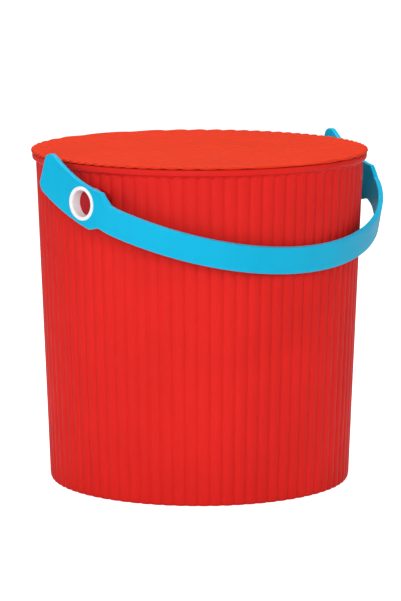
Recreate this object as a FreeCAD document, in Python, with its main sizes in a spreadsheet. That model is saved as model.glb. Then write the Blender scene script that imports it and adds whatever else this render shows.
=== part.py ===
import FreeCAD, Part
import Sketcher
import math
import os
from FreeCAD import Placement, Rotation, Vector

# A lidded household bucket with a strap handle.
# Frame: millimetres, +Z up, origin on the bucket's axis in the plane it stands on.
# X runs through the two handle pivots, and the lowered handle lies towards -Y.

doc = FreeCAD.newDocument("bucket")

# ---------------------------------------------------------------- driving dimensions
SIZES = [
    # the shell: a tapered wall that turns nearly upright close to the rim
    ("base_radius", 141.3),
    ("neck_radius", 152.0),
    ("neck_height", 278.0),
    ("collar_radius", 152.9),
    ("rim_height", 309.0),
    ("wall", 2.4),
    ("floor_thickness", 2.8),
    ("base_round", 4.5),
    ("foot_recess", 3.0),
    ("foot_width", 7.0),
    # the rolled lip that stiffens the rim and carries the lid
    ("lip_radius", 156.4),
    ("lip_height", 6.6),
    # the lid: a plate that rests on the lip and a skirt that centres it
    ("lid_radius", 157.5),
    ("lid_thickness", 3.0),
    ("lid_gap", 0.3),
    ("skirt_radius", 149.3),
    ("skirt_wall", 2.0),
    ("skirt_depth", 12.0),
    # the two pivots, on one line parallel to X
    ("pivot_height", 276.6),
    ("pivot_forward", 36.4),
    ("boss_reach", 161.2),
    ("running_gap", 0.05),
    # the hollow rings pressed into the ears
    ("barrel_radius", 13.0),
    ("barrel_inner_end", 152.6),
    ("flange_radius", 15.6),
    ("flange_height", 1.0),
    ("bore_radius", 11.8),
    # the handle seen from above: straight ears, tight corners, wide grip
    ("strap_thickness", 4.8),
    ("ear_offset", 168.2),
    ("ear_turn", 5.2),
    ("ear_forward", 21.0),
    ("ear_back", 66.0),
    ("corner_radius", 48.0),
    ("corner_turn", 32.0),
    # the handle seen from the side, measured from the pivot
    ("handle_droop", 13.4),
    ("grip_end", 150.0),
    ("strap_rise", 14.3),
    ("strap_drop", 10.6),
    ("strap_slope", 11.0),
    ("shoulder_foot", 34.0),
    ("shoulder_head", 21.5),
    ("shoulder_level", 16.8),
    ("ear_crest_radius", 126.0),
    ("fin_front", 42.5),
    ("fin_front_level", 29.8),
    ("fin_tip_radius", 8.0),
    ("fin_back", 54.5),
    ("fin_back_level", 25.6),
    ("fin_heel", 57.0),
    ("fin_heel_level", 2.0),
    ("heel_radius", 11.0),
    ("heel_end", 48.0),
    ("heel_end_level", 7.2),
    ("ear_keel_radius", 200.0),
    ("keel_end", 13.9),
    ("keel_level", 20.4),
    ("keel_step", 24.5),
]

sheet = doc.addObject("Spreadsheet::Sheet", "sizes")
for row, (alias, number) in enumerate(SIZES, start=1):
    sheet.set(f"A{row}", alias)
    sheet.set(f"B{row}", str(number))
    sheet.setAlias(f"B{row}", alias)
doc.recompute()


class Size:
    """A number from the sheet together with the expression that stays bound to its cell."""

    def __init__(self, number, text):
        self.number = number
        self.text = text

    def __add__(self, other):
        other = as_size(other)
        return Size(self.number + other.number, f"({self.text} + {other.text})")

    def __sub__(self, other):
        other = as_size(other)
        return Size(self.number - other.number, f"({self.text} - {other.text})")

    def __mul__(self, other):
        other = as_size(other)
        return Size(self.number * other.number, f"({self.text} * {other.text})")

    def __truediv__(self, other):
        other = as_size(other)
        return Size(self.number / other.number, f"({self.text} / {other.text})")

    def __neg__(self):
        return Size(-self.number, f"(0 - {self.text})")


def as_size(value):
    return value if isinstance(value, Size) else Size(value, str(value))


def size(alias):
    return Size(float(sheet.get(alias)), f"sizes.{alias}")


def sine(angle):
    return Size(math.sin(math.radians(angle.number)), f"sin({angle.text})")


def cosine(angle):
    return Size(math.cos(math.radians(angle.number)), f"cos({angle.text})")


def tangent(angle):
    return Size(math.tan(math.radians(angle.number)), f"tan({angle.text})")


# ---------------------------------------------------------------- sketch helpers
def make_body(name):
    body = doc.addObject("PartDesign::Body", name)
    body.Label = name
    return body


def make_sketch(body, name, role, height=None):
    """A sketch on one of the body's own origin planes, moved along its normal by height."""
    sketch = body.newObject("Sketcher::SketchObject", name)
    plane = next(f for f in body.Origin.OriginFeatures if f.Role == role)
    sketch.AttachmentSupport = [(plane, "")]
    sketch.MapMode = "FlatFace"
    if height is not None:
        sketch.setExpression("AttachmentOffset.Base.z", height.text)
    doc.recompute()
    return sketch


def pin(sketch, curve, end, corner):
    """Hold one end of a curve at a corner given by two sizes from the sheet."""
    for kind, value in (("DistanceX", corner[0]), ("DistanceY", corner[1])):
        index = sketch.addConstraint(Sketcher.Constraint(kind, -1, 1, curve, end, value.number))
        sketch.setExpression(f"Constraints[{index}]", value.text)


def arc_middle(start, stop, radius):
    """The middle of the short arc from start to stop, left of the way for a positive radius."""
    chord = stop - start
    half = chord.Length / 2
    rise = abs(radius) - math.sqrt(radius * radius - half * half)
    left = Vector(-chord.y, chord.x, 0).normalize()
    return (start + stop) / 2 + left * math.copysign(rise, radius)


def draw_outline(sketch, corners, radii):
    """A closed outline: each side is straight, or an arc that bulges left when its radius is positive."""
    points = [Vector(x.number, y.number, 0) for x, y in corners]
    for index, radius in enumerate(radii):
        start = points[index]
        stop = points[(index + 1) % len(points)]
        following = corners[(index + 1) % len(corners)]
        if radius is None:
            curve = sketch.addGeometry(Part.LineSegment(start, stop), False)
            ends = (1, 2)
        else:
            middle = arc_middle(start, stop, radius.number)
            curve = sketch.addGeometry(Part.Arc(start, middle, stop), False)
            at_start = (sketch.getPoint(curve, 1) - start).Length < 1e-6
            ends = (1, 2) if at_start else (2, 1)
            number = Sketcher.Constraint("Radius", curve, abs(radius.number))
            held = sketch.addConstraint(number)
            length = radius if radius.number > 0 else -radius
            sketch.setExpression(f"Constraints[{held}]", length.text)
        pin(sketch, curve, ends[0], corners[index])
        pin(sketch, curve, ends[1], following)


def draw_circle(sketch, centre, radius):
    middle = Vector(centre[0].number, centre[1].number, 0)
    circle = sketch.addGeometry(Part.Circle(middle, Vector(0, 0, 1), radius.number), False)
    held = sketch.addConstraint(Sketcher.Constraint("Radius", circle, radius.number))
    sketch.setExpression(f"Constraints[{held}]", radius.text)
    pin(sketch, circle, 3, centre)


def revolve(body, kind, name, sketch):
    feature = body.newObject(kind, name)
    feature.Profile = sketch
    feature.ReferenceAxis = (sketch, ["V_Axis"])
    feature.Angle = 360
    doc.recompute()
    return feature


def expect_change(body, before, sign, what):
    """A cut must take material away and a pad must add some: a wrong direction does neither."""
    change = (body.Shape.Volume - before) * sign
    if change < 1.0:
        raise RuntimeError(f"{what} changed the volume by {change * sign:.1f} mm3")


# ---------------------------------------------------------------- bucket_body
def make_bucket_body():
    """The moulded shell: turned outside, two round bosses for the pivots, then the hollow inside."""
    body = make_body("bucket_body")
    zero = as_size(0)
    foot_outer = size("base_radius") - size("base_round")
    foot_inner = foot_outer - size("foot_width")
    lip_foot = size("rim_height") - size("lip_height")
    lip_round = size("lip_height") / 2
    lip_root = size("lip_radius") - lip_round

    outside = make_sketch(body, "outside", "XZ_Plane")
    corners = [
        (zero, size("foot_recess")),
        (foot_inner, size("foot_recess")),
        (foot_inner, zero),
        (foot_outer, zero),
        (size("base_radius"), size("base_round")),
        (size("neck_radius"), size("neck_height")),
        (size("collar_radius"), lip_foot),
        (lip_root, lip_foot),
        (size("lip_radius"), lip_foot + lip_round),
        (lip_root, size("rim_height")),
        (zero, size("rim_height")),
    ]
    radii = [None] * len(corners)
    radii[3] = -size("base_round")
    radii[7] = -lip_round
    radii[8] = -lip_round
    draw_outline(outside, corners, radii)
    revolve(body, "PartDesign::Revolution", "turned", outside)

    bar = make_sketch(body, "boss_circle", "YZ_Plane")
    pivot = (-size("pivot_forward"), size("pivot_height"))
    draw_circle(bar, pivot, size("bore_radius") - size("running_gap"))
    before = body.Shape.Volume
    bosses = body.newObject("PartDesign::Pad", "bosses")
    bosses.Profile = bar
    bosses.SideType = "Symmetric"
    bosses.setExpression("Length", (size("boss_reach") * 2).text)
    doc.recompute()
    expect_change(body, before, 1, "bosses")

    inside = make_sketch(body, "inside", "XZ_Plane")
    floor_level = size("foot_recess") + size("floor_thickness")
    wall = size("wall")
    base_inner = size("base_radius") - wall
    open_level = size("rim_height") + 5
    corners = [
        (zero, floor_level),
        (base_inner - size("base_round"), floor_level),
        (base_inner, floor_level + size("base_round")),
        (size("neck_radius") - wall, size("neck_height")),
        (size("collar_radius") - wall, open_level),
        (zero, open_level),
    ]
    radii = [None, -size("base_round"), None, None, None, None]
    draw_outline(inside, corners, radii)
    before = body.Shape.Volume
    revolve(body, "PartDesign::Groove", "hollow", inside)
    expect_change(body, before, -1, "hollow")
    return body


# ---------------------------------------------------------------- lid
def make_lid():
    """A round-edged plate on the rim, with a skirt that drops just inside the wall."""
    body = make_body("lid")
    zero = as_size(0)
    under = size("rim_height") + size("lid_gap")
    top = under + size("lid_thickness")
    round_edge = size("lid_thickness") / 2
    edge_root = size("lid_radius") - round_edge
    skirt_foot = under - size("skirt_depth")
    skirt_inner = size("skirt_radius") - size("skirt_wall")
    profile = make_sketch(body, "profile", "XZ_Plane")
    corners = [
        (zero, under),
        (skirt_inner, under),
        (skirt_inner, skirt_foot),
        (size("skirt_radius"), skirt_foot),
        (size("skirt_radius"), under),
        (edge_root, under),
        (size("lid_radius"), under + round_edge),
        (edge_root, top),
        (zero, top),
    ]
    radii = [None] * len(corners)
    radii[5] = -round_edge
    radii[6] = -round_edge
    draw_outline(profile, corners, radii)
    revolve(body, "PartDesign::Revolution", "turned", profile)
    return body


# ---------------------------------------------------------------- handle
def handle_plan():
    """Corners and arc radii of the strap seen from above, in the handle's own frame."""
    turn = size("ear_turn")
    bend = size("corner_turn")
    thick = size("strap_thickness")
    outer_corner = size("corner_radius")
    at_pivot = size("ear_offset")
    tail = (at_pivot + size("ear_back") * sine(turn), size("ear_back") * cosine(turn))
    arm = (at_pivot - size("ear_forward") * sine(turn), -(size("ear_forward") * cosine(turn)))
    bend_end = (
        arm[0] + outer_corner * (cosine(bend) - cosine(turn)),
        arm[1] - outer_corner * (sine(bend) - sine(turn)),
    )
    grip_radius = bend_end[0] / cosine(bend)

    def inward(corner, angle):
        return (corner[0] - thick * cosine(angle), corner[1] + thick * sine(angle))

    def mirrored(corner):
        return (-corner[0], corner[1])

    outer = [tail, arm, bend_end]
    inner = [inward(tail, turn), inward(arm, turn), inward(bend_end, bend)]
    corners = outer + [mirrored(c) for c in reversed(outer)]
    corners += [mirrored(c) for c in inner] + list(reversed(inner))
    inner_corner = outer_corner - thick
    inner_grip = grip_radius - thick
    radii = [None, outer_corner, grip_radius, outer_corner, None, None]
    radii += [None, -inner_corner, -inner_grip, -inner_corner, None, None]
    return corners, radii


def handle_side():
    """Corners and arc radii of the handle seen from the side: strap, shoulders and raised fin."""
    slope = tangent(size("strap_slope"))

    def strap_top(forward):
        return (-forward, size("strap_rise") - forward * slope)

    def strap_bottom(forward):
        return (-forward, -size("strap_drop") - forward * slope)

    corners = [
        strap_top(size("grip_end")),
        strap_top(size("shoulder_foot")),
        (-size("shoulder_head"), size("shoulder_level")),
        (size("fin_front"), size("fin_front_level")),
        (size("fin_back"), size("fin_back_level")),
        (size("fin_heel"), size("fin_heel_level")),
        (size("heel_end"), -size("heel_end_level")),
        (-size("keel_end"), -size("keel_level")),
        strap_bottom(size("keel_step")),
        strap_bottom(size("grip_end")),
    ]
    radii = [None] * len(corners)
    radii[2] = -size("ear_crest_radius")
    radii[3] = size("fin_tip_radius")
    radii[5] = size("heel_radius")
    radii[6] = size("ear_keel_radius")
    return corners, radii


def handle_placement():
    """The lowered handle: its origin on the pivot line, drooping towards the front."""
    at_pivot = f"vector(0; {(-size('pivot_forward')).text}; sizes.pivot_height)"
    return f"placement({at_pivot}; rotation(vector(1; 0; 0); sizes.handle_droop))"


def make_handle():
    """A band bent round the bucket, trimmed to its side outline and bored for the rings."""
    body = make_body("handle")
    zero = as_size(0)
    plan = make_sketch(body, "plan", "XY_Plane")
    draw_outline(plan, *handle_plan())
    band = body.newObject("PartDesign::Pad", "band")
    band.Profile = plan
    band.SideType = "Symmetric"
    band.setExpression("Length", (size("grip_end") * 0.8).text)
    doc.recompute()

    trim = make_sketch(body, "trim", "YZ_Plane")
    draw_outline(trim, *handle_side())
    reach = size("grip_end") + 10
    half_height = size("grip_end") * 0.6
    frame_corners = [
        (-reach, half_height),
        (reach, half_height),
        (reach, -half_height),
        (-reach, -half_height),
    ]
    draw_outline(trim, frame_corners, [None] * 4)
    cut_through(body, "trimmed", trim)

    hole = make_sketch(body, "ring_hole", "YZ_Plane")
    draw_circle(hole, (zero, zero), size("barrel_radius"))
    cut_through(body, "ring_holes", hole)

    body.setExpression("Placement", handle_placement())
    doc.recompute()
    return body


def cut_through(body, name, sketch):
    """Cut a sketch right through the body, both ways from its plane."""
    before = body.Shape.Volume
    cut = body.newObject("PartDesign::Pocket", name)
    cut.Profile = sketch
    cut.SideType = "Symmetric"
    cut.setExpression("Length", (size("ear_offset") * 4).text)
    doc.recompute()
    expect_change(body, before, -1, name)


# ---------------------------------------------------------------- pivot rings
def make_cylinder(name, radius, length, start, direction):
    """A cylinder whose axis lies in the handle's XY plane, turned from X by the given angle."""
    cylinder = doc.addObject("Part::Cylinder", name)
    cylinder.setExpression("Radius", radius.text)
    cylinder.setExpression("Height", length.text)
    along = f"rotation(vector(0; 0; 1); {direction.text}) * rotation(vector(0; 1; 0); 90)"
    foot = f"vector({start[0].text}; {start[1].text}; 0)"
    cylinder.setExpression("Placement", f"placement({foot}; {along})")
    return cylinder


def combine(kind, name, base, tool):
    result = doc.addObject(kind, name)
    result.Base = base
    result.Tool = tool
    return result


def make_ring(side, name):
    """A flanged tube: the flange lies flat on the ear, the barrel turns on the boss."""
    zero = as_size(0)
    # the axis square to the ear leans forward by the ear's own turn
    square_out = -size("ear_turn") if side > 0 else size("ear_turn") + 180
    straight_out = zero if side > 0 else as_size(180)
    face = (size("ear_offset") * side, zero)
    depth = size("ear_offset") - size("barrel_inner_end")

    def along_square(distance):
        """A point on the square axis, distance outside the ear's face."""
        turn = size("ear_turn")
        return (face[0] + distance * cosine(turn) * side, -(distance * sine(turn)))

    barrel_start = (size("barrel_inner_end") * side, zero)
    barrel = make_cylinder(f"{name}_barrel", size("barrel_radius"), depth * 2, barrel_start, straight_out)
    inboard = along_square(-(depth * 3))
    envelope = make_cylinder(
        f"{name}_envelope", size("barrel_radius") * 2, depth * 3, inboard, square_out
    )
    flange = make_cylinder(
        f"{name}_flange", size("flange_radius"), size("flange_height"), face, square_out
    )
    bore_start = ((size("barrel_inner_end") - depth) * side, zero)
    bore = make_cylinder(f"{name}_bore", size("bore_radius"), depth * 4, bore_start, straight_out)
    trimmed = combine("Part::Common", f"{name}_trimmed", barrel, envelope)
    solid = combine("Part::Fuse", f"{name}_solid", trimmed, flange)
    ring = combine("Part::Cut", name, solid, bore)
    ring.Label = name
    ring.setExpression("Placement", handle_placement())
    return ring


# ---------------------------------------------------------------- build
bucket_body = make_bucket_body()
lid = make_lid()
handle = make_handle()
ring_right = make_ring(1, "pivot_ring_right")
ring_left = make_ring(-1, "pivot_ring_left")
doc.recompute()

for item in doc.Objects:
    if "Invalid" in item.State or "Error" in item.State:
        raise RuntimeError(f"{item.Name} is {item.State}")

os.makedirs("parts", exist_ok=True)
for piece in (bucket_body, lid, handle, ring_left, ring_right):
    if piece.Shape.isNull() or not piece.Shape.isValid():
        raise RuntimeError(f"{piece.Label} has no valid shape")
    if len(piece.Shape.Solids) != 1:
        raise RuntimeError(f"{piece.Label} is {len(piece.Shape.Solids)} solids")
    piece.Shape.exportStep(f"parts/{piece.Label}.step")
    box = piece.Shape.BoundBox
    print(
        f"{piece.Label}: {piece.Shape.Volume / 1000:.1f} cm3,"
        f" x {box.XMin:.2f} {box.XMax:.2f}, y {box.YMin:.2f} {box.YMax:.2f},"
        f" z {box.ZMin:.2f} {box.ZMax:.2f}"
    )
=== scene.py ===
import math

import bpy
import numpy as np
from mathutils import Matrix, Vector


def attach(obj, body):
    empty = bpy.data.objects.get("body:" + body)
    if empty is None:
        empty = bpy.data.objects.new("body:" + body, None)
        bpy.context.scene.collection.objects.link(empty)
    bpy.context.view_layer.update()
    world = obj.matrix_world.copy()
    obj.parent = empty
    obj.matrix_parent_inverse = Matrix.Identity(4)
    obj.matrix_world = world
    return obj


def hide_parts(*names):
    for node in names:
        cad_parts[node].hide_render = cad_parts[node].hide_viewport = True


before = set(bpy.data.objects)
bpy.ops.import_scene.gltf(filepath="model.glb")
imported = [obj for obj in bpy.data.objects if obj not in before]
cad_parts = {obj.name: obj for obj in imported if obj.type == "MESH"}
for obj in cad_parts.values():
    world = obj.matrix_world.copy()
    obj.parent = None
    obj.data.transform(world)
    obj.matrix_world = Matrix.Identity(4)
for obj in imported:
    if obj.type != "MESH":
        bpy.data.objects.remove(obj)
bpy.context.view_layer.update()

# ---------------------------------------------------------------- bucket_shell
# The moulded bucket: one injection-moulded wall of red polypropylene with upright
# convex ribs all round, a rolled lip at the rim and a recessed base inside a foot ring.
# The ribs are lobes of a mould cut with a ball-nosed tool, so the grooves are narrow.
RIB_COUNT = 80
RIB_DEPTH = 0.0018
RIB_TOP = 0.3018
COLUMNS_PER_RIB = 14
FOOT_MIDDLE = 0.1362
BODY_RED = (0.69, 0.018, 0.014, 1.0)


def add_piece(name, points, faces):
    """A smooth-shaded mesh object from an array of points and a list of faces, at the origin."""
    mesh = bpy.data.meshes.new(name)
    mesh.from_pydata(np.asarray(points, dtype=float).tolist(), [], faces)
    mesh.polygons.foreach_set("use_smooth", np.full(len(mesh.polygons), True))
    mesh.update()
    piece = bpy.data.objects.new(name, mesh)
    bpy.context.scene.collection.objects.link(piece)
    return piece


def grid_faces(rows, columns, flip=False):
    """Quads of a rows by columns grid of points, the last column joined to the first."""
    row, column = np.meshgrid(np.arange(rows - 1), np.arange(columns), indexing="ij")
    here = row * columns + column
    beside = row * columns + (column + 1) % columns
    quads = np.stack([here, beside, beside + columns, here + columns], axis=-1).reshape(-1, 4)
    return (quads[:, ::-1] if flip else quads).tolist()


def round_corners(corners, radii, steps=6):
    """Points along a run of corners, each corner replaced by a curve that leaves and joins
    the two sides at the given distance from it: a blend of the corner and those two points."""
    path = [np.array(corners[0], dtype=float)]
    for index in range(1, len(corners) - 1):
        before, at, after = (np.array(corners[index + k], dtype=float) for k in (-1, 0, 1))
        reach = radii[index]
        if reach == 0:
            path.append(at)
            continue
        start = at + (before - at) / np.linalg.norm(before - at) * reach
        stop = at + (after - at) / np.linalg.norm(after - at) * reach
        for t in np.linspace(0, 1, steps):
            path.append((1 - t) ** 2 * start + 2 * t * (1 - t) * at + t**2 * stop)
    path.append(np.array(corners[-1], dtype=float))
    return np.array(path)


def rib_lobe(angle, count):
    """How far the wall falls back from a rib's crest, 0 to 1: a rounded lobe that steepens
    towards the groove, as the square and the fourth power of the distance from the crest."""
    phase = (angle * count / (2 * math.pi)) % 1.0
    across = np.abs(2 * phase - 1)
    return 0.65 * across**2 + 0.35 * across**4


def shell_points(profile, fluting, columns):
    """Points at radius r(s) less fluting(s) times the lobe of the angle, at height z(s)."""
    angle = np.arange(columns) * 2 * math.pi / columns
    lobe = rib_lobe(angle, RIB_COUNT)
    radius = profile[:, 0, None] - RIB_DEPTH * fluting[:, None] * lobe[None, :]
    height = np.repeat(profile[:, 1, None], columns, axis=1)
    return np.stack([radius * np.cos(angle), radius * np.sin(angle), height], axis=-1).reshape(-1, 3)


def make_shell():
    """The closed wall: base recess, foot ring, ribbed outside, lip, smooth inside and floor.
    The fluting grows from none to all of it across the foot ring and ends under the lip."""
    outside = round_corners(
        [(0.0004, 0.0030), (0.1300, 0.0030), (0.1306, 0.0), (FOOT_MIDDLE, 0.0), (0.1401, 0.0),
         (0.1413, 0.0030), (0.1520, 0.2780), (0.1529, 0.3008), (0.1535, 0.3024),
         (0.1563, 0.3030), (0.1564, 0.3084), (0.1550, 0.3090), (0.1512, 0.3090), (0.1505, 0.3084)],
        [0, 0.0012, 0.0014, 0, 0.0012, 0.0015, 0, 0.0010, 0.0006, 0.0020, 0.0014, 0.0008, 0.0005, 0],
    )
    inside = round_corners(
        [(0.1505, 0.3082), (0.1503, 0.3020), (0.1496, 0.2780), (0.1390, 0.0105), (0.1340, 0.0058),
         (0.0004, 0.0058)],
        [0, 0.001, 0, 0.003, 0.003, 0],
    )
    height = outside[:, 1]
    below_collar = np.clip((RIB_TOP - height) / 0.0016, 0, 1)
    past_foot = np.clip((outside[:, 0] - FOOT_MIDDLE) / 0.0022, 0, 1)
    fluting = below_collar * past_foot
    profile = np.vstack([outside, inside])
    fluting = np.concatenate([fluting, np.zeros(len(inside))])
    columns = RIB_COUNT * COLUMNS_PER_RIB
    points = shell_points(profile, fluting, columns)
    faces = grid_faces(len(profile), columns)
    floor_under = list(range(columns))[::-1]
    floor_inside = list(range((len(profile) - 1) * columns, len(profile) * columns))
    return add_piece("bucket_shell", points, faces + [floor_under, floor_inside])


def new_group(name, inputs, outputs):
    """A shader node group with only its two ends. An input is (name, socket type, default)
    and an output is (name, socket type)."""
    group = bpy.data.node_groups.new(name, "ShaderNodeTree")
    for label, kind, default in inputs:
        socket = group.interface.new_socket(name=label, in_out="INPUT", socket_type=kind)
        socket.default_value = default
    for label, kind in outputs:
        group.interface.new_socket(name=label, in_out="OUTPUT", socket_type=kind)
    entry = group.nodes.new("NodeGroupInput")
    leave = group.nodes.new("NodeGroupOutput")
    return group, entry, leave


def math_node(tree, operation, first, second, clamp=False):
    """A Math node of two values, each a socket or a number."""
    node = tree.nodes.new("ShaderNodeMath")
    node.operation = operation
    node.use_clamp = clamp
    for slot, value in enumerate((first, second)):
        if isinstance(value, (int, float)):
            node.inputs[slot].default_value = value
        else:
            tree.links.new(value, node.inputs[slot])
    return node.outputs[0]


def noise_node(tree, vector, scale, detail):
    """Noise of the given scale and detail over a vector, 0 to 1."""
    node = tree.nodes.new("ShaderNodeTexNoise")
    node.inputs["Scale"].default_value = scale
    node.inputs["Detail"].default_value = detail
    tree.links.new(vector, node.inputs["Vector"])
    return node.outputs["Fac"]


def ranged(tree, value, low, high, to_low, to_high):
    """The value carried in a straight line from the range low to high to the other range."""
    node = tree.nodes.new("ShaderNodeMapRange")
    tree.links.new(value, node.inputs["Value"])
    node.inputs["From Min"].default_value = low
    node.inputs["From Max"].default_value = high
    node.inputs["To Min"].default_value = to_low
    node.inputs["To Max"].default_value = to_high
    return node.outputs["Result"]


def mould_group():
    """Moulded plastic: slow flow marks in the colour, fine satin grain and faint rub marks."""
    group, entry, leave = new_group(
        "moulded_plastic",
        [("Color", "NodeSocketColor", (0.5, 0.5, 0.5, 1)), ("Roughness", "NodeSocketFloat", 0.3),
         ("Flow", "NodeSocketFloat", 0.08), ("Grain", "NodeSocketFloat", 0.3)],
        [("Color", "NodeSocketColor"), ("Roughness", "NodeSocketFloat"), ("Height", "NodeSocketFloat")],
    )
    place = group.nodes.new("ShaderNodeTexCoord").outputs["Object"]
    slow = noise_node(group, place, 14.0, 3.0)
    streaked = group.nodes.new("ShaderNodeMapping")
    streaked.inputs["Scale"].default_value = (1.0, 1.0, 0.12)
    group.links.new(place, streaked.inputs["Vector"])
    streak = noise_node(group, streaked.outputs["Vector"], 160.0, 2.0)
    fine = noise_node(group, place, 2600.0, 2.0)
    rubbed = noise_node(group, place, 60.0, 5.0)
    tone = math_node(group, "MULTIPLY", ranged(group, slow, 0.3, 0.7, -1.0, 1.0), entry.outputs["Flow"])
    faint = math_node(group, "MULTIPLY", ranged(group, streak, 0.3, 0.7, -0.4, 0.4), entry.outputs["Flow"])
    shade = math_node(group, "ADD", math_node(group, "ADD", tone, faint), 1.0)
    colour = group.nodes.new("ShaderNodeVectorMath")
    colour.operation = "SCALE"
    group.links.new(entry.outputs["Color"], colour.inputs[0])
    group.links.new(shade, colour.inputs["Scale"])
    group.links.new(colour.outputs["Vector"], leave.inputs["Color"])
    worn = ranged(group, rubbed, 0.35, 0.75, -0.03, 0.06)
    rough = math_node(group, "ADD", entry.outputs["Roughness"], worn, clamp=True)
    group.links.new(rough, leave.inputs["Roughness"])
    grain = math_node(group, "MULTIPLY", fine, entry.outputs["Grain"])
    group.links.new(grain, leave.inputs["Height"])
    return group


MOULDED = mould_group()
GRAIN_HEIGHT = 0.0002


def plastic(name, colour, roughness, flow, grain=0.3, bump=0.12, specular=0.12, coat=0.0):
    """A moulded plastic with the shared mould marks: flow is the strength of its streaks,
    grain the height of its satin texture, and specular and coat its gloss."""
    material = bpy.data.materials.new(name)
    material.use_nodes = True
    tree = material.node_tree
    shader = tree.nodes["Principled BSDF"]
    marks = tree.nodes.new("ShaderNodeGroup")
    marks.node_tree = MOULDED
    marks.inputs["Color"].default_value = colour
    marks.inputs["Roughness"].default_value = roughness
    marks.inputs["Flow"].default_value = flow
    marks.inputs["Grain"].default_value = grain
    relief = tree.nodes.new("ShaderNodeBump")
    relief.inputs["Strength"].default_value = bump
    relief.inputs["Distance"].default_value = GRAIN_HEIGHT
    tree.links.new(marks.outputs["Height"], relief.inputs["Height"])
    tree.links.new(marks.outputs["Color"], shader.inputs["Base Color"])
    tree.links.new(marks.outputs["Roughness"], shader.inputs["Roughness"])
    tree.links.new(relief.outputs["Normal"], shader.inputs["Normal"])
    shader.inputs["Coat Weight"].default_value = coat
    shader.inputs["Coat Roughness"].default_value = 0.12
    shader.inputs["Specular IOR Level"].default_value = specular
    shader.inputs["IOR"].default_value = 1.35
    return material


red_plastic = plastic("red_polypropylene", BODY_RED, 0.42, flow=0.05)
bucket_shell = make_shell()
bucket_shell.data.materials.append(red_plastic)
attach(bucket_shell, "bucket")
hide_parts("bucket_body")

# ---------------------------------------------------------------- pivot_boss_right, pivot_boss_left
# Two round bosses moulded with the wall, which the hollow pivot rings turn on. Their ends
# are flat with a softly broken edge. They are the same red as the wall, but are given a
# darker red here: painted shade standing in for the shade inside the rings.
PIVOT = np.array([0.0, -0.0364, 0.2766])
BOSS_RADIUS = 0.01175
BOSS_END = 0.1612
# painted shade: a darker red than the wall's, for the shade that falls inside the rings
BOSS_PAINTED_SHADE_RED = (0.38, 0.012, 0.018, 1.0)
boss_painted_shade_plastic = plastic("red_polypropylene_boss_painted_shade", BOSS_PAINTED_SHADE_RED, 0.42, flow=0.05)


def make_boss(side, name):
    """A profile of radius against X turned round the pivot line: side, broken edge, end."""
    profile = round_corners(
        [(0.1440, BOSS_RADIUS), (BOSS_END, BOSS_RADIUS), (BOSS_END, 0.0002)], [0, 0.0006, 0]
    )
    columns = 72
    angle = np.arange(columns) * 2 * math.pi / columns
    along = np.repeat(profile[:, 0, None], columns, axis=1) * side
    across = PIVOT[1] + profile[:, 1, None] * np.cos(angle)
    upward = PIVOT[2] + profile[:, 1, None] * np.sin(angle)
    points = np.stack([along, across, upward], axis=-1).reshape(-1, 3)
    last = (len(profile) - 1) * columns
    centre = list(range(last, last + columns))
    faces = grid_faces(len(profile), columns, flip=side < 0)
    faces.append(centre if side > 0 else centre[::-1])
    boss = add_piece(name, points, faces)
    boss.data.materials.append(boss_painted_shade_plastic)
    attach(boss, "bucket")
    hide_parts("bucket_body")


make_boss(1, "pivot_boss_right")
make_boss(-1, "pivot_boss_left")

# ---------------------------------------------------------------- lid_plate
# A press-on lid of the same plastic in a more orange red: a flat plate crossed by straight,
# parallel, rounded ridges that run out over the rim and scallop it, and a plain skirt
# underneath. The ridges lie nearly along X.
LID_RED = (0.70, 0.036, 0.008, 1.0)
RIDGE_PITCH = 0.01032
RIDGE_DEPTH = 0.0023
RIDGE_TURN = math.radians(-4.4)
RIM_NOTCH = 0.0024
LID_TOP = 0.3123
LID_UNDERSIDE = 0.3093


def ridge_drop(across):
    """How far the top falls below a ridge's crest, 0 to 1, from the distance across the
    ridges: rounded crests with narrower valleys, the square and the sixth power of it."""
    phase = (across / RIDGE_PITCH + 0.25) % 1.0
    off_crest = np.abs(2 * phase - 1)
    return 0.66 * off_crest**2 + 0.34 * off_crest**6


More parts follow.
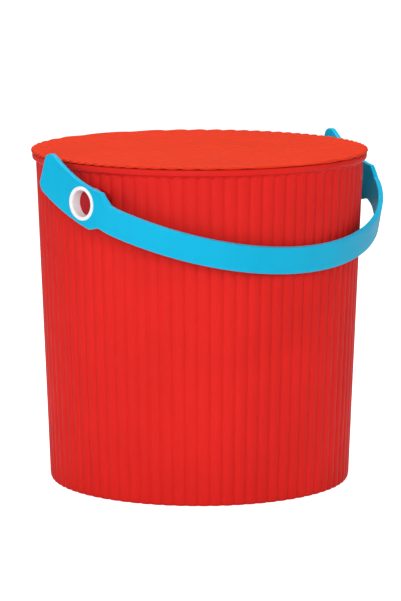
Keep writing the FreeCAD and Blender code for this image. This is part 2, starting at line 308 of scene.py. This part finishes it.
def make_lid():
    """A loop of columns round the rim carries edge, underside and skirt. The rim's radius and
    height fall by the ridges' drop, and the top is ruled straight across from each column to
    the one facing it along the ridges. All of it is then turned round the axis."""
    half = 420
    turn = (np.arange(half) + 0.5) / half * math.pi - math.pi / 2
    angle = np.concatenate([turn, math.pi + turn])
    across_unit = np.sin(angle)
    edge = round_corners(
        [(0.1552, LID_TOP), (0.1575, 0.3122), (0.1573, 0.30925), (0.1560, 0.30915),
         (0.1494, LID_UNDERSIDE), (0.1491, 0.2974), (0.1476, 0.2974), (0.1473, LID_UNDERSIDE),
         (0.0005, LID_UNDERSIDE)],
        [0, 0.0018, 0.0010, 0, 0.0006, 0.0004, 0.0004, 0.0006, 0],
    )
    columns = len(angle)
    drop = ridge_drop(across_unit[None, :] * edge[:, 0, None])
    top_weight = np.clip((edge[:, 1] - 0.3094) / 0.0024, 0, 1)[:, None]
    on_edge = np.where(edge[:, 0] > 0.1548, 1.0, 0.0)[:, None]
    under_edge = np.where(edge[:, 0] > 0.1559, 1.0, 0.0)[:, None] * (1 - top_weight)
    run_out = np.abs(np.cos(angle))[None, :]
    radius = edge[:, 0, None] - RIM_NOTCH * drop * on_edge * run_out
    height = edge[:, 1, None] - RIDGE_DEPTH * drop * top_weight * on_edge
    height = height + 0.0007 * drop * under_edge
    ring = np.stack([radius * np.cos(angle), radius * np.sin(angle), height], axis=-1)
    faces = grid_faces(len(edge), columns, flip=True)
    last = (len(edge) - 1) * columns
    faces.append(list(range(last, last + columns)))
    points = ring.reshape(-1, 3)

    steps = 12
    right = ring[0, :half]
    left = ring[0, half:][::-1]
    share = np.linspace(0, 1, steps + 1)[1:-1]
    top = right[None] * (1 - share[:, None, None]) + left[None] * share[:, None, None]
    top[..., 2] = LID_TOP - RIDGE_DEPTH * ridge_drop(top[..., 1])
    start = len(points)
    points = np.vstack([points, top.reshape(-1, 3)])
    rows = [np.arange(half)]
    rows += [start + k * half + np.arange(half) for k in range(steps - 1)]
    rows.append(columns - 1 - np.arange(half))
    rows = np.array(rows)
    quads = np.stack([rows[:-1, :-1], rows[:-1, 1:], rows[1:, 1:], rows[1:, :-1]], axis=-1)
    faces += quads.reshape(-1, 4).tolist()
    faces.append(rows[:, 0].tolist())
    faces.append(rows[::-1, -1].tolist())

    turned = np.array(Matrix.Rotation(RIDGE_TURN, 3, "Z"))
    return add_piece("lid_plate", points @ turned.T, faces)


lid_plate = make_lid()
lid_plate.data.materials.append(plastic("orange_red_polypropylene", LID_RED, 0.45, flow=0.04))
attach(lid_plate, "lid")
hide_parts("lid")

# ---------------------------------------------------------------- handle_strap
# One springy strap of bright blue plastic: a band of even thickness bent round the bucket,
# widened at each end into an ear with a raised fin, and bored for the pivot ring.
# It is a flat sheet in outline, so a single sheet is bent, thickened and its edges broken.
HANDLE_BLUE = (0.0, 0.44, 0.70, 1.0)
STRAP_THICKNESS = 0.0048
DROOP = math.radians(13.4)
EAR_OFFSET = 0.1682
EAR_TURN = math.radians(5.2)
EAR_FORWARD = 0.0210
CORNER_RADIUS = 0.048
CORNER_TURN = math.radians(32.0)
RING_HOLE = 0.0130
STRAP_RISE = 0.0143
STRAP_DROP = 0.0106
STRAP_SLOPE = math.tan(math.radians(11.0))


def arc_between(start, stop, radius, count):
    """Points on the arc that bulges left of the way from start to stop, right if negative."""
    start, stop = np.array(start), np.array(stop)
    chord = stop - start
    length = np.linalg.norm(chord)
    left = np.array([-chord[1], chord[0]]) / length
    middle = (start + stop) / 2
    centre = middle - left * math.copysign(math.sqrt(radius**2 - (length / 2) ** 2), radius)
    half = math.asin(length / 2 / abs(radius))
    outward = left * math.copysign(1, radius)
    along = chord / length
    turn = np.linspace(-half, half, count)[:, None]
    return centre + abs(radius) * (np.cos(turn) * outward + np.sin(turn) * along)


def resample(path, count):
    """The same path as count points evenly spaced along its length."""
    steps = np.linalg.norm(np.diff(path, axis=0), axis=1)
    length = np.concatenate([[0], np.cumsum(steps)])
    even = np.linspace(0, length[-1], count)
    return np.stack([np.interp(even, length, path[:, k]) for k in range(path.shape[1])], axis=1)


def strap_plan(depth):
    """X of the strap's outer face at a depth in front of (negative) or behind the pivot, on
    the straight ear, the corner's arc or the wide grip arc."""
    arm_x = EAR_OFFSET - EAR_FORWARD * math.sin(EAR_TURN)
    arm_y = -EAR_FORWARD * math.cos(EAR_TURN)
    heading = np.arcsin(np.clip((arm_y - depth) / CORNER_RADIUS + math.sin(EAR_TURN), -1, 1))
    corner = arm_x + CORNER_RADIUS * (np.cos(heading) - math.cos(EAR_TURN))
    straight = EAR_OFFSET + depth * math.tan(EAR_TURN)
    return np.where(depth > arm_y, straight, corner)


def make_strap():
    """Columns from the fin's back edge along the ear and the grip to its middle, each a
    straight line from the bottom outline to the top one, mirrored for the other half. A
    column that crosses the ring's hole is split at the circle."""
    upper = np.vstack([
        arc_between((-0.0215, 0.0168), (0.0425, 0.0298), -0.126, 24),
        arc_between((0.0425, 0.0298), (0.0545, 0.0256), 0.008, 8)[1:],
    ])
    lower = np.vstack([
        np.array([(-0.0215, -0.0167)]),
        arc_between((0.0480, -0.0072), (-0.0139, -0.0204), 0.200, 20)[::-1],
        arc_between((0.0570, 0.0020), (0.0480, -0.0072), 0.011, 8)[::-1][1:],
    ])
    ear_columns = 56
    ear_top = resample(upper, ear_columns)
    ear_bottom = resample(lower, ear_columns)
    ear_plan = np.stack([strap_plan(ear_top[:, 0]), strap_plan(ear_bottom[:, 0])], axis=1)

    arm_x = EAR_OFFSET - EAR_FORWARD * math.sin(EAR_TURN)
    arm_y = -EAR_FORWARD * math.cos(EAR_TURN)
    bend_x = arm_x + CORNER_RADIUS * (math.cos(CORNER_TURN) - math.cos(EAR_TURN))
    bend_y = arm_y - CORNER_RADIUS * (math.sin(CORNER_TURN) - math.sin(EAR_TURN))
    grip = bend_x / math.cos(CORNER_TURN)
    first = math.asin(min(1, (arm_y + 0.0222) / CORNER_RADIUS + math.sin(EAR_TURN)))
    corner_heading = np.linspace(first, CORNER_TURN, 18)
    corner = np.stack([
        arm_x + CORNER_RADIUS * (np.cos(corner_heading) - math.cos(EAR_TURN)),
        arm_y - CORNER_RADIUS * (np.sin(corner_heading) - math.sin(EAR_TURN)),
    ], axis=1)
    grip_heading = np.linspace(CORNER_TURN, math.pi / 2, 60)[1:]
    front = np.stack([
        grip * np.cos(grip_heading),
        bend_y - grip * (np.sin(grip_heading) - math.sin(CORNER_TURN)),
    ], axis=1)
    band = np.vstack([corner, front])
    depth = band[:, 1]
    top_level = STRAP_RISE + depth * STRAP_SLOPE
    shoulder = np.interp(
        depth, [-0.034, -0.0275, -0.0215], [STRAP_RISE - 0.034 * STRAP_SLOPE, 0.0122, 0.0168]
    )
    blend = np.clip((depth + 0.037) / 0.006, 0, 1)
    top_level = top_level * (1 - blend) + np.maximum(shoulder, top_level) * blend
    bottom_level = -STRAP_DROP + depth * STRAP_SLOPE
    keel = np.interp(depth, [-0.0245, -0.0139], [-0.0154, -0.0204])
    bottom_level = np.where(depth > -0.0245, keel, bottom_level)

    # each column: plan X and depth at its bottom and top, and the two levels
    foot = np.vstack([
        np.stack([ear_plan[::-1, 1], ear_bottom[::-1, 0], ear_bottom[::-1, 1]], axis=1),
        np.stack([band[:, 0], depth, bottom_level], axis=1),
    ])
    head = np.vstack([
        np.stack([ear_plan[::-1, 0], ear_top[::-1, 0], ear_top[::-1, 1]], axis=1),
        np.stack([band[:, 0], depth, top_level], axis=1),
    ])
    way = head[:, 1:] - foot[:, 1:]
    span = np.linalg.norm(way, axis=1)
    unit = way / span[:, None]
    nearest = -(foot[:, 1:] * unit).sum(axis=1)
    miss = np.abs(foot[:, 1] * unit[:, 1] - foot[:, 2] * unit[:, 0])
    hole = np.sqrt(np.clip(RING_HOLE**2 - miss**2, 0, None))
    middle = np.where(np.arange(len(foot)) < ear_columns, np.clip(nearest / span, 0.3, 0.75), 0.5)
    ease = np.clip((depth[0] - foot[:, 1]) / 0.03, 0, 1)
    middle = middle * (1 - ease) + 0.5 * ease
    low = middle - hole / span
    high = middle + hole / span
    rows_each = 7
    share = np.linspace(0, 1, rows_each)
    lower_rows = low[:, None] * share
    upper_rows = high[:, None] + (1 - high[:, None]) * share
    place = np.concatenate([lower_rows, upper_rows], axis=1)
    sheet = foot[:, None, :] * (1 - place[..., None]) + head[:, None, :] * place[..., None]
    in_ear = np.arange(len(foot)) < ear_columns
    sheet[in_ear, :, 0] = strap_plan(sheet[in_ear, :, 1])

    mirrored = sheet[:-1][::-1] * np.array([-1, 1, 1])
    sheet = np.vstack([sheet, mirrored])
    columns, rows = sheet.shape[:2]
    open_hole = np.concatenate([hole, hole[:-1][::-1]]) > 1e-6
    index = np.arange(columns * rows).reshape(columns, rows)
    index[~open_hole, rows_each] = index[~open_hole, rows_each - 1]
    faces = []
    for row in range(rows - 1):
        if row == rows_each - 1:
            continue
        quads = np.stack(
            [index[:-1, row], index[1:, row], index[1:, row + 1], index[:-1, row + 1]], axis=-1
        )
        faces += quads[:, ::-1].tolist()

    lean = np.array(Matrix.Rotation(DROOP, 3, "X"))
    points = sheet.reshape(-1, 3) @ lean.T + PIVOT
    used = np.zeros(len(points), dtype=bool)
    used[np.array(faces).ravel()] = True
    renumber = np.cumsum(used) - 1
    strap = add_piece("handle_strap", points[used], renumber[np.array(faces)].tolist())
    thicken = strap.modifiers.new("thickness", "SOLIDIFY")
    thicken.thickness = STRAP_THICKNESS
    thicken.offset = -1
    thicken.use_even_offset = True
    soften = strap.modifiers.new("broken_edges", "BEVEL")
    soften.width = 0.0009
    soften.segments = 3
    soften.limit_method = "ANGLE"
    soften.angle_limit = math.radians(50)
    return strap


handle_strap = make_strap()
blue_plastic = plastic("blue_polypropylene", HANDLE_BLUE, 0.34, flow=0.04, specular=0.3)
handle_strap.data.materials.append(blue_plastic)
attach(handle_strap, "handle")
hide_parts("handle")

# ---------------------------------------------------------------- hollow_ring_right, hollow_ring_left
# The hollow pivot rings: smooth white plastic tubes pressed into the ears, each with a thin
# round-edged flange that lies on the ear. Their barrels turn on the bosses.
RING_WHITE = (0.86, 0.87, 0.88, 1.0)
BORE_RADIUS = 0.0118


def make_ring(side, name):
    """Rows of circles: the barrel and bore lie round the pivot line, and the flange's rows
    are sheared by the ear's turn so that the flange lies flat on it."""
    profile = round_corners(
        [(-0.0158, 0.0129), (-0.0001, 0.0129), (0.0, 0.0155), (0.0011, 0.0154), (0.0011, 0.0124),
         (-0.0004, BORE_RADIUS), (-0.0152, BORE_RADIUS), (-0.0156, 0.0122), (-0.0158, 0.0129)],
        [0, 0.0005, 0.0003, 0.0008, 0.0007, 0.0006, 0.0002, 0.0002, 0],
        steps=5,
    )[:-1]
    columns = 96
    angle = np.arange(columns) * 2 * math.pi / columns
    shear = math.tan(EAR_TURN) * np.clip(1 + profile[:, 0] / 0.010, 0, 1)
    beside = profile[:, 1, None] * np.cos(angle)
    upward = profile[:, 1, None] * np.sin(angle)
    outward = EAR_OFFSET + profile[:, 0, None] + shear[:, None] * beside
    points = np.stack([outward * side, beside, upward], axis=-1).reshape(-1, 3)
    lean = np.array(Matrix.Rotation(DROOP, 3, "X"))
    faces = grid_faces(len(profile), columns, flip=side < 0)
    closing = len(profile) * columns - columns
    around = np.arange(columns)
    beyond = (around + 1) % columns
    seam = np.stack([closing + around, closing + beyond, beyond, around], axis=-1)
    faces += (seam[:, ::-1] if side < 0 else seam).tolist()
    return add_piece(name, points @ lean.T + PIVOT, faces)


white_plastic = plastic("white_plastic", RING_WHITE, 0.28, flow=0.02, grain=0.2, bump=0.06, coat=0.2)
for side, hand in ((1, "right"), (-1, "left")):
    hollow_ring = make_ring(side, "hollow_ring_" + hand)
    hollow_ring.data.materials.append(white_plastic)
    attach(hollow_ring, "handle")
    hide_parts("pivot_ring_" + hand)

# ---------------------------------------------------------------- floor, light and camera
# A plain pale studio floor under soft even light from above, in front and both sides, and
# a long lens a little above the rim.
FLOOR_REACH = 30.0
FLOOR_LEVEL = -0.0002
floor_mesh = bpy.data.meshes.new("studio_floor")
floor_corners = [
    (x * FLOOR_REACH, y * FLOOR_REACH, FLOOR_LEVEL) for x, y in ((-1, -1), (1, -1), (1, 1), (-1, 1))
]
floor_mesh.from_pydata(floor_corners, [], [(0, 1, 2, 3)])
studio_floor = bpy.data.objects.new("studio_floor", floor_mesh)
bpy.context.scene.collection.objects.link(studio_floor)
floor_material = bpy.data.materials.new("studio_floor")
floor_material.use_nodes = True
floor_tree = floor_material.node_tree
floor_shader = floor_tree.nodes["Principled BSDF"]
floor_shader.inputs["Base Color"].default_value = (0.75, 0.75, 0.75, 1)
floor_shader.inputs["Roughness"].default_value = 0.9
floor_glow = floor_tree.nodes.new("ShaderNodeLightPath")
floor_tree.links.new(floor_glow.outputs["Is Camera Ray"], floor_shader.inputs["Emission Strength"])
floor_shader.inputs["Emission Color"].default_value = (0.85, 0.85, 0.85, 1)
studio_floor.data.materials.append(floor_material)

world = bpy.context.scene.world or bpy.data.worlds.new("studio")
bpy.context.scene.world = world
world.use_nodes = True
world.node_tree.nodes["Background"].inputs["Color"].default_value = (1, 1, 1, 1)
world.node_tree.nodes["Background"].inputs["Strength"].default_value = 0.22


def add_light(name, place, target, width, height, power):
    """A rectangular softbox facing its target."""
    lamp = bpy.data.lights.new(name, "AREA")
    lamp.shape = "RECTANGLE"
    lamp.size = width
    lamp.size_y = height
    lamp.energy = power
    light = bpy.data.objects.new(name, lamp)
    light.location = place
    light.rotation_euler = (Vector(target) - Vector(place)).to_track_quat("-Z", "Y").to_euler()
    bpy.context.scene.collection.objects.link(light)


add_light("overhead_softbox", (0.4, 0.2, 2.5), (0, 0, 0.2), 1.6, 1.6, 42)
add_light("front_softbox", (-2.2, -2.0, 1.3), (0, 0, 0.15), 1.4, 1.8, 52)
add_light("left_softbox", (-2.7, 0.1, 0.9), (0, 0, 0.12), 1.2, 1.6, 16)
add_light("right_softbox", (1.7, -2.6, 1.3), (0, 0, 0.15), 1.0, 1.6, 20)

bpy.context.scene.view_settings.view_transform = "Standard"

camera_data = bpy.data.cameras.new("camera")
camera_data.lens = 191.6
camera_data.sensor_width = 36
camera_data.sensor_fit = "AUTO"
camera = bpy.data.objects.new("camera", camera_data)
camera.location = (-1.9116, -2.2796, 0.6465)
camera.rotation_euler = (math.radians(90 - 9.16), 0, math.radians(-40))
bpy.context.scene.collection.objects.link(camera)
bpy.context.scene.camera = camera
